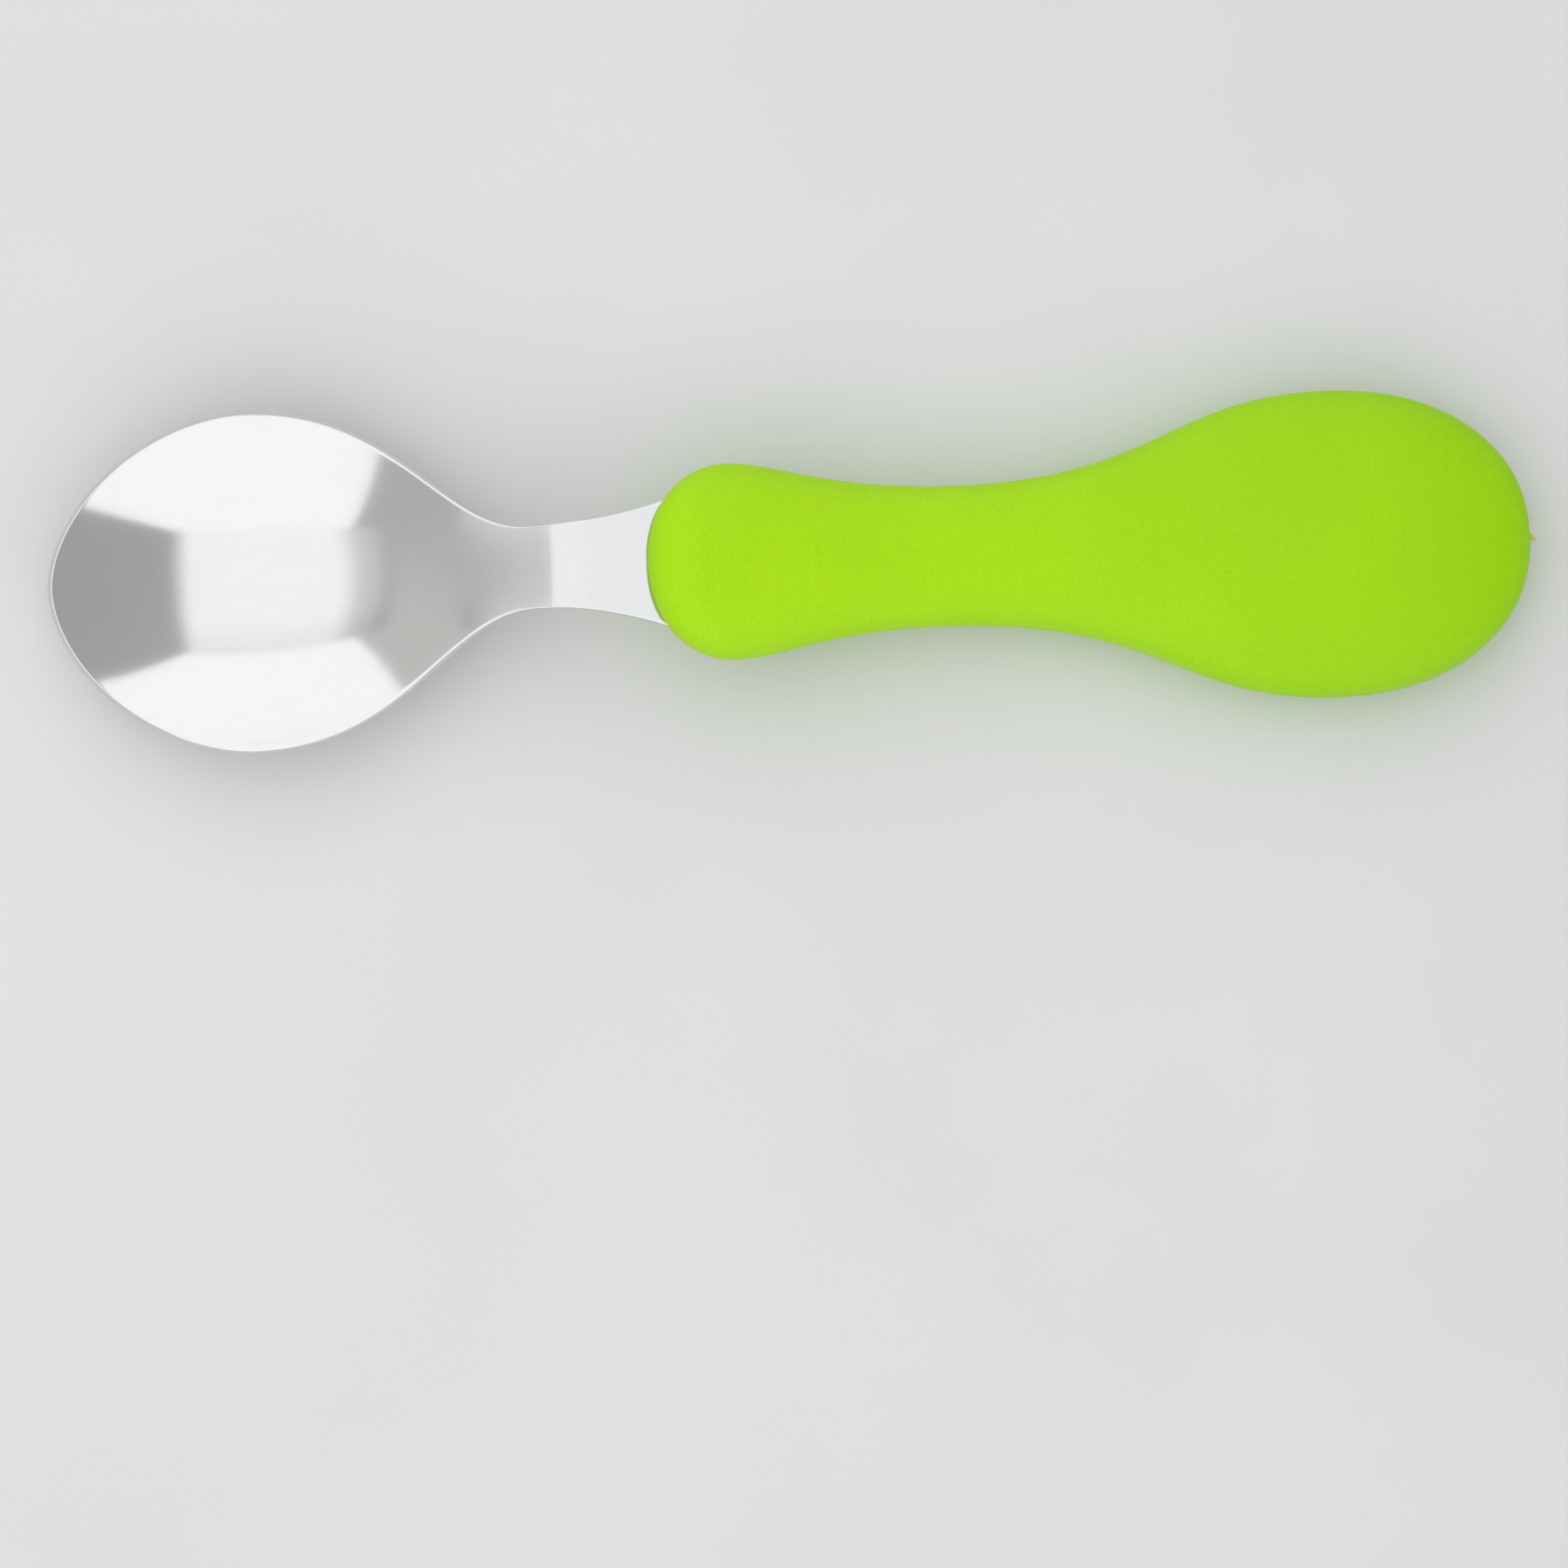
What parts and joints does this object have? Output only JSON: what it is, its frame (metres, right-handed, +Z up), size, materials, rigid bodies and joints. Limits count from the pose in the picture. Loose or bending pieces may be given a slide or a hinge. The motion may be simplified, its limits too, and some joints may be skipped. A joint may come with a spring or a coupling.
{
  "type": "baby spoon",
  "caption": "Short spoon with a deep oval steel bowl, a flared flat neck and a thick waisted soft handle that swells into a broad rounded butt, for a small hand.",
  "frame": {"origin": "under the middle of the spoon, on the table it lies on", "axes": "+X from the bowl's tip to the butt, +Y across the spoon, +Z up out of the bowl"},
  "size_m": [0.1404, 0.0324, 0.0151],
  "materials": {
    "polished_steel": "bright polished stainless steel, mirror-like with faint wiping lines",
    "core_plastic": "natural hard polypropylene, plain moulded",
    "lime_grip": "lime-green soft-touch elastomer, matte with a fine moulded grain"
  },
  "bodies": {
    "root": {"spoon_blade": "polished_steel", "handle_core": "core_plastic", "handle_grip": "lime_grip"}
  },
  "joints": []
}
